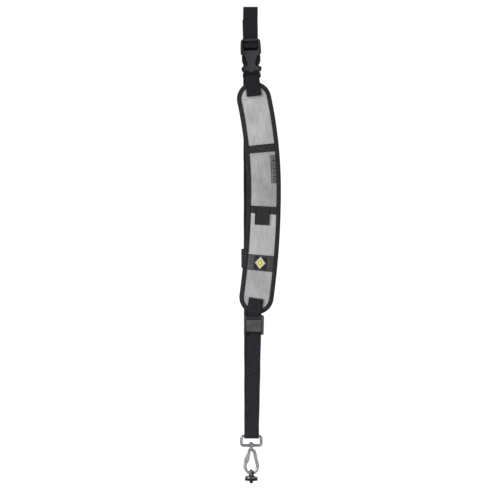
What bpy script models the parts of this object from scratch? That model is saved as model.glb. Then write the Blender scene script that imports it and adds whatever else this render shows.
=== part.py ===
"""A closed-loop sling strap: webbing, side-release buckle, padded crescent, two cam stoppers, swivel
snap hook and a threaded fastener. Front faces -Y, up is +Z, the origin is under the webbing's top fold.

Numbers below are millimetres. MM turns them into the metres that the scene uses.
"""

import math

import bmesh
import bpy
from mathutils import Matrix, Vector

MM = 0.001

# webbing
WEB_HALF = 12.5
WEB_THICK = 1.4
GAP = 0.3
FOLD_R = 5.0
FRONT_Y = -5.0
TOP_X = -1.5

# buckle, in its own frame: origin at the ladder's top centre
BUCKLE_AT = (-1.6, FRONT_Y, -53.85)
BUCKLE_TILT = 2.3
BUCKLE_HALF_Y = 5.5
BAR_R = 1.85
LADDER_BAR = (-0.6, -12.05)
MALE_BAR = (0.0, -63.05)
ARM_HINGE = (10.3, -49.3)
RAIL_IN = 12.8
LEDGE_IN = 11.2

# pad, two arcs that meet where the centreline is upright
PAD_X = 21.2
PAD_Z = -310.55
PAD_R_UP = 736.0
PAD_R_LOW = 1341.0
PAD_UP = 155.8
PAD_LOW = -182.5
PAD_HALF = 29.25
BINDING_W = 7.5
BINDING_T = 0.8
PAD_FRONT = -10.0
PAD_BACK = 0.0
UPPER_BAND = (64.0, 77.1)
LOWER_BAND = (-40.4, -27.7)
LOWER_SKEW = -0.035
EMBLEM_BAND = (-137.4, -110.7)
TAB_SPAN = (-59.4, -31.0)

# swivel loop, hook and fastener
LOOP_BAR_Z = -729.3
LOOP_R = 2.45
LOOP_LOW_Z = -745.2
WRAP_R = LOOP_R + GAP + WEB_THICK / 2
GATE_AT = (-3.7, -754.2)
GATE_TIP = (-8.5, -776.0)
HOOK_R = 2.7
HOOK_LOW_Z = -792.45
DRING_TURN = -59.0
DRING_HALF = 5.25
DRING_R = 1.35
DRING_BAR_Z = -797.85
STUD_R = 3.175

# cam stoppers: half sizes and the lever's pivot, in the run's own frame
STOP_HALF = 16.9
STOP_TALL = 16.5
CHEEK_IN = 13.4
PIVOT = (12.0, 4.3)
BARREL_R = 2.9
PIN_R = 1.5
BORE_R = 1.8
FRONT_RUN_TOP = (4.9, -10.7, -521.0)
FRONT_RUN_END = (0.3, -WRAP_R, LOOP_BAR_Z)
BACK_RUN_TOP = (TOP_X, FOLD_R, -4.3)
BACK_RUN_END = (0.7, WRAP_R, LOOP_BAR_Z)
FRONT_STOP_Z = -539.6
BACK_STOP_Z = -426.7

COLOURS = {
    "webbing": ((0.016, 0.016, 0.018), 0.85, 0.0),
    "tape": ((0.020, 0.019, 0.020), 0.85, 0.0),
    "grey_fabric": ((0.36, 0.38, 0.40), 0.9, 0.0),
    "foam": ((0.08, 0.08, 0.08), 0.95, 0.0),
    "backing": ((0.03, 0.03, 0.03), 0.95, 0.0),
    "plastic": ((0.045, 0.045, 0.048), 0.35, 0.0),
    "stopper_plastic": ((0.085, 0.085, 0.088), 0.4, 0.0),
    "steel": ((0.42, 0.42, 0.43), 0.3, 1.0),
    "black_metal": ((0.02, 0.02, 0.021), 0.35, 1.0),
    "rubber": ((0.012, 0.012, 0.012), 0.8, 0.0),
    "label": ((0.02, 0.02, 0.02), 0.7, 0.0),
    "patch": ((0.012, 0.012, 0.012), 0.8, 0.0),
}


def clear_scene():
    for obj in list(bpy.data.objects):
        bpy.data.objects.remove(obj, do_unlink=True)


def new_collection(name):
    col = bpy.data.collections.new(name)
    bpy.context.scene.collection.children.link(col)
    return col


def new_material(name, kind):
    rgb, rough, metal = COLOURS[kind]
    mat = bpy.data.materials.new(name + "_" + kind)
    mat.use_nodes = True
    shader = mat.node_tree.nodes["Principled BSDF"]
    shader.inputs["Base Color"].default_value = (*rgb, 1.0)
    shader.inputs["Roughness"].default_value = rough
    shader.inputs["Metallic"].default_value = metal
    return mat


def add_object(name, bm, collection, origin=(0, 0, 0), frame=None):
    """A mesh object. Its shape and origin are given in the frame, or in the world without one."""
    bmesh.ops.remove_doubles(bm, verts=bm.verts, dist=0.0005)
    bmesh.ops.recalc_face_normals(bm, faces=bm.faces)
    mesh = bpy.data.meshes.new(name)
    bm.transform(Matrix.Scale(MM, 4) @ Matrix.Translation(-Vector(origin)))
    bm.to_mesh(mesh)
    bm.free()
    obj = bpy.data.objects.new(name, mesh)
    base = (frame or Matrix()).copy()
    base.translation = (base @ Vector(origin)) * MM
    obj.matrix_world = base
    collection.objects.link(obj)
    return obj


def piece(name, bm, kind, origin=(0, 0, 0), frame=None):
    obj = add_object(name, bm, PARTS, origin, frame)
    obj.data.materials.append(new_material(name, kind))
    return obj


def boolean(obj, name, bm, frame, operation):
    other = add_object(name, bm, CUTTERS, frame=frame)
    other.hide_render = True
    other.display_type = "WIRE"
    mod = obj.modifiers.new(operation.lower(), "BOOLEAN")
    mod.operation = operation
    mod.solver = "EXACT"
    mod.object = other


def cut(obj, name, bm, frame=None):
    boolean(obj, name, bm, frame, "DIFFERENCE")


def join(obj, name, bm, frame=None):
    boolean(obj, name, bm, frame, "UNION")


def bevel(obj, width, segments=1, angle=40):
    mod = obj.modifiers.new("bevel", "BEVEL")
    mod.width = width * MM
    mod.segments = segments
    mod.limit_method = "ANGLE"
    mod.angle_limit = math.radians(angle)


def moved(bm, matrix):
    bm.transform(matrix)
    return bm


def tilted(degrees, at=(0, 0, 0)):
    return Matrix.Translation(at) @ Matrix.Rotation(math.radians(-degrees), 4, "Y")


def box(low, high):
    size = [b - a for a, b in zip(low, high)]
    middle = [(a + b) / 2 for a, b in zip(low, high)]
    bm = bmesh.new()
    bmesh.ops.create_cube(bm, size=1.0)
    bm.transform(Matrix.Translation(middle) @ Matrix.Diagonal((*size, 1.0)))
    return bm


def rod(start, end, radius, segments=20):
    a, b = Vector(start), Vector(end)
    turn = (b - a).to_track_quat("Z", "Y").to_matrix().to_4x4()
    bm = bmesh.new()
    bmesh.ops.create_cone(
        bm, cap_ends=True, segments=segments, radius1=radius, radius2=radius, depth=(b - a).length
    )
    bm.transform(Matrix.Translation((a + b) / 2) @ turn)
    return bm


def evaluated(obj):
    graph = bpy.context.evaluated_depsgraph_get()
    mesh = bpy.data.meshes.new_from_object(obj.evaluated_get(graph))
    bm = bmesh.new()
    bm.from_mesh(mesh)
    bm.transform(Matrix.Scale(1 / MM, 4))
    bmesh.ops.remove_doubles(bm, verts=bm.verts, dist=0.0005)
    bpy.data.meshes.remove(mesh)
    bpy.data.objects.remove(obj, do_unlink=True)
    return bm


def slab(points, y0, y1):
    """A flat outline of (x, z) points, made solid between two y values."""
    curve = bpy.data.curves.new("outline", "CURVE")
    curve.dimensions = "2D"
    curve.fill_mode = "BOTH"
    curve.extrude = abs(y1 - y0) / 2 * MM
    spline = curve.splines.new("POLY")
    spline.points.add(len(points) - 1)
    for spot, (x, z) in zip(spline.points, points):
        spot.co = (x * MM, z * MM, 0, 1)
    spline.use_cyclic_u = True
    obj = bpy.data.objects.new("outline", curve)
    CUTTERS.objects.link(obj)
    bm = evaluated(obj)
    bpy.data.curves.remove(curve)
    bm.transform(Matrix.Translation((0, (y0 + y1) / 2, 0)) @ Matrix.Rotation(math.pi / 2, 4, "X"))
    return bm


def wire(points, radius, closed=False, resolution=2, taper=()):
    """A round wire along (x, y, z) points. taper gives the last points' share of the radius."""
    curve = bpy.data.curves.new("wire", "CURVE")
    curve.dimensions = "3D"
    curve.bevel_depth = radius * MM
    curve.bevel_resolution = resolution
    curve.use_fill_caps = not closed
    spline = curve.splines.new("POLY")
    spline.points.add(len(points) - 1)
    for spot, p in zip(spline.points, points):
        spot.co = (p[0] * MM, p[1] * MM, p[2] * MM, 1)
    for k, share in enumerate(taper):
        spline.points[len(points) - len(taper) + k].radius = share
    spline.use_cyclic_u = closed
    obj = bpy.data.objects.new("wire", curve)
    CUTTERS.objects.link(obj)
    bm = evaluated(obj)
    bpy.data.curves.remove(curve)
    return bm


def turned(profile, at=(0, 0), closed=False, steps=28):
    """A profile of (radius, z) points turned round an upright axis."""
    mesh = bpy.data.meshes.new("profile")
    count = len(profile)
    edges = [(i, i + 1) for i in range(count - 1)]
    if closed:
        edges.append((count - 1, 0))
    mesh.from_pydata([(r * MM, 0, z * MM) for r, z in profile], edges, [])
    obj = bpy.data.objects.new("profile", mesh)
    CUTTERS.objects.link(obj)
    mod = obj.modifiers.new("screw", "SCREW")
    mod.steps = steps
    mod.render_steps = steps
    mod.use_merge_vertices = True
    mod.merge_threshold = 0.00001
    bm = evaluated(obj)
    bpy.data.meshes.remove(mesh)
    bm.transform(Matrix.Translation((at[0], at[1], 0)))
    return bm


def ribbon(stations, half=WEB_HALF, thick=WEB_THICK):
    """Webbing lofted through stations of (x, y, z, tilt in degrees)."""
    bm = bmesh.new()
    spots = [Vector(s[:3]) for s in stations]
    rings = []
    for i, station in enumerate(stations):
        ahead = spots[min(i + 1, len(spots) - 1)]
        behind = spots[max(i - 1, 0)]
        along = (ahead - behind).normalized()
        tilt = math.radians(station[3])
        across = Vector((math.cos(tilt), 0, math.sin(tilt)))
        across = (across - across.dot(along) * along).normalized()
        up = along.cross(across)
        corners = [(-1, -1), (1, -1), (1, 1), (-1, 1)]
        rings.append(
            [bm.verts.new(spots[i] + a * half * across + b * thick / 2 * up) for a, b in corners]
        )
    for one, two in zip(rings, rings[1:]):
        for k in range(4):
            bm.faces.new((one[k], one[(k + 1) % 4], two[(k + 1) % 4], two[k]))
    bm.faces.new(rings[0])
    bm.faces.new(rings[-1])
    return bm


def smooth(points, steps=4):
    """A Catmull-Rom curve through points, as a list of points."""
    out = []
    ends = [points[0]] + list(points) + [points[-1]]
    for i in range(1, len(ends) - 2):
        p0, p1, p2, p3 = [Vector(p) for p in ends[i - 1 : i + 3]]
        for k in range(steps):
            t = k / steps
            a = 2 * p1
            b = (p2 - p0) * t
            c = (2 * p0 - 5 * p1 + 4 * p2 - p3) * t * t
            d = (3 * p1 - p0 - 3 * p2 + p3) * t**3
            out.append((a + b + c + d) / 2)
    out.append(Vector(points[-1]))
    return out


# --- pad geometry ------------------------------------------------------------------------------


def pad_frame(s):
    """The point on the pad's centreline and the tilt there, s mm above the upright spot."""
    inside = min(max(s, PAD_LOW), PAD_UP)
    radius = PAD_R_UP if inside > 0 else PAD_R_LOW
    angle = inside / radius
    x = PAD_X - radius * (1 - math.cos(angle))
    z = PAD_Z + radius * math.sin(angle)
    extra = s - inside
    return x - extra * math.sin(angle), z + extra * math.cos(angle), angle


def pad_point(s, t):
    x, z, angle = pad_frame(s)
    return x + t * math.cos(angle), z + t * math.sin(angle)


def pad_outline(inset, sides=14, round_steps=10):
    """The pad's outline as (s, t) points, going round it once."""
    r = PAD_HALF - inset
    out = []
    for k in range(sides):
        out.append((PAD_LOW + (PAD_UP - PAD_LOW) * k / sides, r))
    for k in range(round_steps):
        a = math.pi * k / round_steps
        out.append((PAD_UP + r * math.sin(a), r * math.cos(a)))
    for k in range(sides):
        out.append((PAD_UP + (PAD_LOW - PAD_UP) * k / sides, -r))
    for k in range(round_steps):
        a = math.pi * k / round_steps
        out.append((PAD_LOW - r * math.sin(a), -r * math.cos(a)))
    return out


def crescent(inset, y0, y1):
    return slab([pad_point(s, t) for s, t in pad_outline(inset)], y0, y1)


def strip(s0, s1, t0, t1, y0, y1, skew=0.0, steps=4):
    """A patch of the pad's front between two s and two t values."""
    across = [t0 + (t1 - t0) * k / steps for k in range(steps + 1)]
    low = [(s0 + skew * t, t) for t in across]
    high = [(s1 + skew * t, t) for t in reversed(across)]
    side = []
    count = max(1, int(abs(s1 - s0) / 25))
    for k in range(1, count):
        side.append((s0 + (s1 - s0) * k / count, t1))
    back = [(s, t0) for s, t in reversed(side)]
    return slab([pad_point(s, t) for s, t in low + side + high + back], y0, y1)


def end_panel(s0, top, inset, y0, y1):
    """A front panel with one straight edge at s0 and the pad's round end."""
    r = PAD_HALF - inset
    end = PAD_UP if top else PAD_LOW
    sign = 1 if top else -1
    out = [(s0, -r * sign), (s0, r * sign)]
    for k in range(1, 4):
        out.append((s0 + (end - s0) * k / 4, r * sign))
    for k in range(13):
        a = math.pi * k / 12
        out.append((end + sign * r * math.sin(a), sign * r * math.cos(a)))
    for k in range(3, 0, -1):
        out.append((s0 + (end - s0) * k / 4, -r * sign))
    return slab([pad_point(s, t) for s, t in out], y0, y1)


# --- webbing -----------------------------------------------------------------------------------


def in_buckle(x, y, z):
    return tilted(BUCKLE_TILT, BUCKLE_AT) @ Vector((x, y, z))


def main_webbing():
    path = []
    y0, z0 = LADDER_BAR
    wrap = BAR_R + GAP + 0.7
    for y, z in [(2.1, 33.0), (2.1, 12.0), (2.1, -6.0)]:
        path.append((*in_buckle(0, y, z), BUCKLE_TILT))
    for k in range(9):
        a = math.radians(180 - 22.5 * k)
        spot = in_buckle(0, y0 - wrap * math.cos(a), z0 - wrap * math.sin(a))
        path.append((*spot, BUCKLE_TILT))
    for y, z in [(-3.1, -9.9), (-1.9, -8.6), (-0.4, -7.4), (0.1, -5.6), (0.1, 8.0)]:
        path.append((*in_buckle(0, y, z), BUCKLE_TILT))
    for k in range(9):
        a = math.radians(22.5 * k)
        path.append((TOP_X, -FOLD_R * math.cos(a), -4.3 + FOLD_R * math.sin(a), 0))
    path.append((-0.4, 4.13, -366.8, 0))
    for k in range(9):
        a = math.radians(22.5 * k)
        x = BACK_RUN_END[0] + (FRONT_RUN_END[0] - BACK_RUN_END[0]) * k / 8
        path.append((x, WRAP_R * math.cos(a), LOOP_BAR_Z - WRAP_R * math.sin(a), 0))
    path.append((2.6, -6.97, -625.1, -1))
    path.append((*FRONT_RUN_TOP, -2))
    for x, y, z, tilt in [(5.2, -11.0, -517.5, -6), (6.2, -11.0, -510.0, -8), (8.5, -11.0, -494.7, -8)]:
        path.append((x, y, z, tilt))
    return piece("main_webbing", ribbon(path), "webbing")


def pad_top_tab():
    wrap = BAR_R + GAP + 0.7
    centre = in_buckle(0, *MALE_BAR)
    path = [(4.85, -11.0, -151.3, 7), (3.3, -11.0, -138.0, 7), (2.0, -11.0, -126.0, 6)]
    for k in range(9):
        a = math.radians(22.5 * k)
        y = centre.y - wrap * math.cos(a)
        path.append((centre.x, y, centre.z + wrap * math.sin(a), BUCKLE_TILT + 1))
    path += [(2.0, 1.0, -126.0, 6), (3.3, 1.0, -138.0, 7), (4.85, 1.0, -151.3, 7)]
    return piece("pad_top_tab", ribbon(path), "webbing")


# --- buckle ------------------------------------------------------------------------------------


def mirrored(right):
    """The whole outline from its right half, which starts and ends on the middle line."""
    return right + [(-x, z) for x, z in reversed(right[1:-1])]


def buckle_female():
    right = [(0.0, 0.0), (12.0, 0.0), (14.6, -0.7), (16.2, -2.6), (16.8, -5.0), (17.3, -12.0)]
    right += [(17.6, -22.5), (17.3, -24.8), (16.3, -26.6), (14.0, -27.3), (11.2, -28.4), (9.2, -33.0)]
    right += [(8.0, -36.5), (6.8, -40.5), (6.1, -43.4), (6.6, -45.0), (8.4, -46.0), (12.0, -46.4)]
    right += [(15.4, -46.9), (16.8, -48.6), (17.2, -51.5), (16.6, -54.0), (15.0, -55.6), (13.0, -55.9)]
    right += [(10.6, -54.4), (8.2, -53.6), (5.6, -54.0), (3.2, -55.4), (1.6, -56.5), (0.0, -56.9)]
    place = tilted(BUCKLE_TILT, BUCKLE_AT)
    h = BUCKLE_HALF_Y
    obj = piece("buckle_female", slab(mirrored(right), -h, h), "plastic", frame=place)
    bevel(obj, 0.9, 2, 50)
    cut(obj, "female_ladder", box((-RAIL_IN, -9, -20.05), (RAIL_IN, 3.6, -3.4)), place)
    cut(obj, "female_back", box((-RAIL_IN, -1.3, -3.6), (RAIL_IN, 3.6, 3)), place)
    cut(obj, "female_ledges", box((-LEDGE_IN, 3.3, -20.05), (LEDGE_IN, 9, 3)), place)
    y, z = LADDER_BAR
    join(obj, "female_bar", rod((-14.1, y, z), (14.1, y, z), BAR_R, 18), place)
    plate = [(0.0, -24.2), (14.6, -24.2), (14.6, -31.0), (13.2, -38.0), (12.6, -48.0), (0.0, -48.0)]
    join(obj, "female_back_plate", slab(mirrored(plate), 3.95, 5.1), place)
    cut(obj, "female_cavity", box((-14.8, -3.7, -70), (14.8, 3.7, -23.7)), place)
    dip = [(5.6, -46.2), (7.6, -47.2), (14.4, -48.3), (15.6, -50.8), (15.0, -53.4), (13.4, -54.2)]
    dip += [(10.8, -52.8), (8.0, -52.2), (5.0, -52.7), (2.8, -54.0)]
    for tag, side in (("a", -1), ("b", 1)):
        cut(obj, "female_dip_" + tag, slab([(side * x, z) for x, z in dip], -9.0, -4.8), place)
    return obj


def buckle_male():
    right = [(0.0, -57.4), (14.2, -57.4), (14.9, -57.9), (15.4, -60.0), (15.5, -63.5), (15.0, -65.5)]
    right += [(14.0, -66.2), (0.0, -66.2)]
    place = tilted(BUCKLE_TILT, BUCKLE_AT)
    obj = piece("buckle_male", slab(mirrored(right), -4.6, 4.6), "plastic", frame=place)
    bevel(obj, 0.8, 2, 50)
    cut(obj, "male_window", box((-RAIL_IN, -9, -70), (RAIL_IN, 9, -59.2)), place)
    y, z = MALE_BAR
    join(obj, "male_bar", rod((-14.1, y, z), (14.1, y, z), BAR_R, 18), place)
    join(obj, "male_root", box((-13.6, -3.0, -58.0), (13.6, 3.0, -51.4)), place)
    join(obj, "male_tongue", box((-3.2, -1.5, -53.0), (3.2, 1.5, -28.0)), place)
    return obj


def buckle_arm(name, side):
    points = [(9.0, -49.3), (8.9, -44.0), (9.6, -40.8), (10.6, -36.5), (12.0, -32.3), (13.0, -29.0)]
    points += [(13.8, -27.9), (15.3, -27.8), (15.8, -29.6), (15.9, -35.0), (15.6, -38.5), (14.6, -41.6)]
    points += [(13.6, -43.2), (12.6, -44.6), (12.2, -46.5), (12.0, -49.3), (11.5, -50.6), (10.3, -51.0)]
    points += [(9.2, -50.6)]
    place = tilted(BUCKLE_TILT, BUCKLE_AT)
    bm = slab([(side * x, z) for x, z in points], -2.75, 2.75)
    obj = piece(name, bm, "plastic", (side * ARM_HINGE[0], 0, ARM_HINGE[1]), place)
    bevel(obj, 0.5, 1, 50)
    return obj


# --- pad pieces --------------------------------------------------------------------------------


def pad_layers():
    piece("pad_backing", crescent(1.4, -2.1, -1.1), "backing")
    piece("pad_foam", crescent(1.6, -7.6, -2.4), "foam")
    y0, y1 = -8.9, -7.9
    edge = PAD_HALF - 2.0
    middle = sum(UPPER_BAND) / 2
    low = sum(LOWER_BAND) / 2
    last = sum(EMBLEM_BAND) / 2
    piece("front_panel_1", end_panel(middle + 0.3, True, 2.0, y0, y1), "grey_fabric")
    piece("front_panel_2", strip(low + 0.3, middle - 0.3, -edge, edge, y0, y1), "grey_fabric")
    piece("front_panel_3", strip(last + 0.3, low - 0.3, -edge, edge, y0, y1), "grey_fabric")
    piece("front_panel_4", end_panel(last - 0.3, False, 2.0, y0, y1), "grey_fabric")


def edge_binding():
    w, t, y0, y1 = BINDING_W, BINDING_T, PAD_FRONT, PAD_BACK
    section = [(0, y0 + 1.2), (0.8, y0), (w, y0), (w, y0 + t), (t + 0.4, y0 + t)]
    section += [(t + 0.4, y1 - t), (w, y1 - t), (w, y1), (0.8, y1), (0, y1 - 1.2)]
    bm = bmesh.new()
    columns = []
    for depth, y in section:
        spots = [pad_point(s, t2) for s, t2 in pad_outline(depth)]
        columns.append([bm.verts.new((x, y, z)) for x, z in spots])
    count = len(columns[0])
    for i in range(len(columns)):
        one, two = columns[i], columns[(i + 1) % len(columns)]
        for k in range(count):
            bm.faces.new((one[k], one[(k + 1) % count], two[(k + 1) % count], two[k]))
    piece("edge_binding", bm, "tape")


def pad_bands():
    inner = PAD_HALF - BINDING_W - 0.4
    y0, y1 = -10.2, -9.2
    piece("upper_cross_band", strip(*UPPER_BAND, -inner, inner, y0, y1), "tape")
    piece("lower_cross_band", strip(*LOWER_BAND, -inner, inner, y0, y1, LOWER_SKEW), "tape")
    piece("emblem_band", strip(*EMBLEM_BAND, -inner, inner, y0, y1), "webbing")
    piece("emblem_patch", strip(-135.0, -113.0, -11.5, 10.5, -11.3, -10.5), "patch")
    piece("side_label", strip(12.8, 59.0, 12.0, inner, -9.8, -9.2), "label")
    x, z = pad_point(TAB_SPAN[1], -1.7)
    tab = strip(*TAB_SPAN, -14.2, 10.8, -11.7, -10.5)
    piece("pocket_tab", tab, "webbing", (x, -10.5, z))


# --- cam stoppers ------------------------------------------------------------------------------


def run_frame(top, end, z, front):
    """The frame of a stopper on a straight run: x across, y along and up, z outward."""
    a, b = Vector(top), Vector(end)
    spot = a + (b - a) * ((z - a.z) / (b.z - a.z))
    along = (a - b).normalized()
    across = Vector((1 if front else -1, 0, 0))
    across = (across - across.dot(along) * along).normalized()
    out = across.cross(along)
    matrix = Matrix((across, along, out)).transposed().to_4x4()
    return Matrix.Translation(spot) @ matrix


def lever_profile():
    """The lever's side view as (along, outward) points, round its pivot."""
    v, w = PIVOT
    points = []
    for k in range(10):
        a = math.radians(120 - 24.0 * k)
        points.append((v + BARREL_R * math.cos(a), w + BARREL_R * math.sin(a)))
    points += [(9.4, 1.7), (7.2, 3.9), (-7.0, 4.6), (-10.8, 4.0), (-11.4, 5.2), (-11.0, 6.7)]
    points += [(-5.0, 7.2), (6.0, 7.5), (8.8, 7.4), (9.4, 6.0)]
    return points


def stopper(prefix, frame):
    s, h = STOP_HALF, STOP_TALL
    v, w = PIVOT
    name = prefix + "_stopper_housing"
    body = piece(name, box((-s, -h, -3.3), (s, h, 6.5)), "stopper_plastic", frame=frame)
    bevel(body, 1.6, 2, 50)
    cut(body, prefix + "_channel", box((-CHEEK_IN, -h - 3, -1.1), (CHEEK_IN, h + 3, 9)), frame)
    cut(body, prefix + "_pin_hole", rod((-s - 3, v, w), (s + 3, v, w), BORE_R, 16), frame)
    side_on = Matrix(((0, 1, 0, 0), (1, 0, 0, 0), (0, 0, 1, 0), (0, 0, 0, 1)))
    lever = moved(slab(lever_profile(), -12.8, 12.8), side_on)
    arm = piece(prefix + "_cam_lever", lever, "stopper_plastic", (0, v, w), frame)
    bevel(arm, 0.5, 1, 50)
    cut(arm, prefix + "_lever_bore", rod((-s, v, w), (s, v, w), BORE_R, 16), frame)
    pin = rod((-s + 0.5, v, w), (s - 0.5, v, w), PIN_R, 16)
    piece(prefix + "_lever_pin", pin, "steel", (0, v, w), frame)


# --- swivel loop, hook and fastener ------------------------------------------------------------


def rounded(half, low, top, radius):
    """A rectangle's corners as short arcs, in (x, z) points."""
    out = []
    for x, z, start in ((half, top, 0), (-half, top, 90), (-half, low, 180), (half, low, 270)):
        cx = x - math.copysign(radius, x)
        cz = z - radius if z == top else z + radius
        for k in range(5):
            a = math.radians(start + 22.5 * k)
            out.append((cx + radius * math.cos(a), cz + radius * math.sin(a)))
    return out


def swivel_loop():
    top = LOOP_BAR_Z
    path = [(a, 0, b) for a, b in rounded(16.8, LOOP_LOW_Z, top, 3.5)]
    obj = piece("swivel_loop", wire(path, LOOP_R, True, 3), "steel", (0, 0, top))
    join(obj, "loop_boss", rod((0, 0, -747.7), (0, 0, -742.7), 4.0, 24))
    cut(obj, "loop_bore", rod((0, 0, -750.0), (0, 0, -739.0), 2.2, 24))
    return obj


def swivel_stem():
    profile = [(0, -739.1), (1.4, -739.3), (2.8, -740.0), (3.8, -741.1), (4.2, -742.3)]
    profile += [(1.9, -742.35), (1.9, -751.0), (1.6, -751.3), (0, -751.3)]
    return piece("swivel_stem", turned(profile), "steel", (0, 0, LOOP_LOW_Z))


def hook_path():
    points = [(1.4, -751.4), (4.0, -752.7), (5.6, -757.2), (7.4, -765.6), (9.4, -774.3), (10.6, -780.1)]
    for k in range(1, 8):
        a = math.radians(22.5 * k)
        points.append((0.15 + 10.5 * math.cos(a), -780.1 - (-780.1 - HOOK_LOW_Z) * math.sin(a)))
    points += [(-10.5, -780.6), (-10.25, -776.8), (-9.6, -773.4), (-8.75, -769.4), (-7.6, -764.0)]
    return smooth([(x, 0, z) for x, z in points], 2)


def hook_body():
    outline = [(-2.9, -749.9), (2.9, -749.9), (4.6, -751.0), (5.5, -753.0), (4.6, -755.2), (1.9, -756.2)]
    outline += [(0.9, -755.0), (0.1, -754.5), (-0.8, -754.8), (-1.5, -755.8), (-2.5, -756.7), (-4.3, -756.9)]
    outline += [(-5.8, -755.9), (-6.4, -754.0), (-5.6, -752.2), (-4.1, -750.9)]
    arm = wire(hook_path(), HOOK_R, False, 2, (0.98, 0.94, 0.80))
    obj = piece("hook_body", arm, "steel", (0, 0, -752.0))
    join(obj, "hook_neck", slab(outline, -2.7, 2.7))
    join(obj, "hook_collar", turned([(0, -748.3), (2.5, -748.3), (3.0, -748.8), (3.0, -750.6), (0, -750.6)]))
    cut(obj, "hook_bore", rod((0, 0, -751.7), (0, 0, -740.0), 2.2, 20))
    cut(obj, "spring_pocket", box((-7.5, 0.3, -758.5), (-0.6, 4.0, -751.5)))
    x, z = GATE_AT
    cut(obj, "hook_pin_hole", rod((x, -6, z), (x, 6, z), 1.3, 16))
    return obj


def gate_frame():
    """The gate's frame: x across it toward the hook's inside, z up its line, origin at the pin."""
    a = Vector((GATE_AT[0], 0, GATE_AT[1]))
    b = Vector((GATE_TIP[0], 0, GATE_TIP[1]))
    up = (a - b).normalized()
    side = Vector((0, 1, 0)).cross(up)
    return Matrix.Translation(a) @ Matrix((side, Vector((0, 1, 0)), up)).transposed().to_4x4()


def hook_gate():
    """A folded channel: its back faces the hook's inside and its open side takes the nose."""
    frame = gate_frame()
    points = [(2.3 * math.cos(math.radians(a)), 2.3 * math.sin(math.radians(a))) for a in range(0, 181, 30)]
    points += [(-2.2, -2.6), (-2.6, -5.0), (-3.4, -8.6), (-4.4, -12.3), (-5.0, -16.0), (-4.3, -19.3)]
    points += [(-2.0, -21.8), (0.9, -22.2), (1.8, -21.4), (2.9, -19.4), (3.5, -15.8), (3.8, -12.5)]
    points += [(3.1, -8.9), (2.5, -5.6), (2.3, -2.5)]
    obj = piece("hook_gate", slab(points, -4.0, 4.0), "steel", frame=frame)
    bevel(obj, 0.4, 1, 50)
    inside = [(-7.0, -25.0), (1.2, -25.0), (1.9, -19.4), (2.5, -15.8), (2.8, -12.5), (2.1, -8.9)]
    inside += [(1.4, -5.2), (6.0, -5.2), (6.0, 6.0), (-7.0, 6.0)]
    cut(obj, "gate_channel", slab(inside, -3.1, 3.1), frame)
    cut(obj, "gate_pin_hole", rod((0, -6, 0), (0, 6, 0), 1.3, 16), frame)
    x, z = GATE_AT
    pin = rod((x, -4.5, z), (x, 4.5, z), 1.0, 16)
    piece("gate_pin", pin, "steel", (x, 0, z))
    return obj


def gate_spring():
    """A coil round the pin. One leg presses on the gate's back and the other rests at the neck."""
    points = [(3.5, 0.95, -8.5), (2.9, 0.95, -5.2)]
    for k in range(25):
        a = math.radians(30 * k)
        points.append((1.7 * math.cos(a), 0.95 + 1.4 * k / 24, 1.7 * math.sin(a)))
    points.append((2.0, 2.35, -1.2))
    return piece("gate_spring", wire(points, 0.3, False, 0), "steel", frame=gate_frame())


def d_ring():
    turn = Matrix.Rotation(math.radians(DRING_TURN), 4, "Z")
    h = DRING_HALF
    points = [(-h + 1.0, 0, DRING_BAR_Z), (h - 1.0, 0, DRING_BAR_Z), (h, 0, DRING_BAR_Z + 1.0)]
    for k in range(9):
        a = math.radians(22.5 * k)
        points.append((h * math.cos(a), 0, HOOK_LOW_Z + h * math.sin(a)))
    points.append((-h, 0, DRING_BAR_Z + 1.0))
    bm = moved(wire(points, DRING_R, True, 2), turn)
    return piece("d_ring", bm, "black_metal", (0, 0, HOOK_LOW_Z))


def fastener():
    turn = Matrix.Rotation(math.radians(DRING_TURN), 4, "Z")
    bar = DRING_BAR_Z
    profile = [(0, -796.3), (4.4, -796.6), (7.4, -797.1), (9.9, -797.8), (10.8, -798.6), (10.8, -801.1)]
    profile += [(10.2, -801.7), (0, -801.7)]
    hub = piece("fastener_hub", turned(profile), "steel", (0, 0, bar))
    join(hub, "hub_lug", moved(rod((-3.0, 0, bar), (3.0, 0, bar), 2.3, 16), turn))
    for side in (-1, 1):
        low, high = sorted((side * 3.0, side * 7.0))
        bm = moved(box((low, -2.3, -799.8), (high, 2.3, -790.0)), turn)
        cut(hub, "hub_pocket_" + ("a" if side < 0 else "b"), bm)
    cut(hub, "hub_bore", moved(rod((-4.0, 0, bar), (4.0, 0, bar), 1.65, 16), turn))
    cut(hub, "hub_stud_bore", rod((0, 0, -803.0), (0, 0, -800.1), STUD_R + GAP, 24))
    ring = [(3.6, -802.0), (10.5, -802.0), (11.2, -802.6), (11.2, -804.2), (10.6, -804.8), (3.6, -804.8)]
    piece("rubber_washer", turned(ring, closed=True), "rubber", (0, 0, bar))
    thread = [(0, -800.3), (2.6, -800.3), (2.6, -804.4)]
    for k in range(3):
        z = -804.7 - 1.27 * k
        thread += [(2.6, z), (STUD_R, z - 0.45), (STUD_R, z - 0.65)]
    thread += [(2.6, -808.5), (2.5, -809.0), (2.1, -809.3), (0, -809.3)]
    piece("threaded_stud", turned(thread, steps=20), "black_metal", (0, 0, bar))


clear_scene()
PARTS = new_collection("sling_strap")
CUTTERS = new_collection("cutters")
main_webbing()
buckle_female()
buckle_male()
buckle_arm("buckle_arm_left", -1)
buckle_arm("buckle_arm_right", 1)
pad_top_tab()
pad_layers()
edge_binding()
pad_bands()
stopper("front", run_frame(FRONT_RUN_TOP, FRONT_RUN_END, FRONT_STOP_Z, True))
stopper("back", run_frame(BACK_RUN_TOP, BACK_RUN_END, BACK_STOP_Z, False))
swivel_loop()
swivel_stem()
hook_body()
hook_gate()
gate_spring()
d_ring()
fastener()
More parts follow.
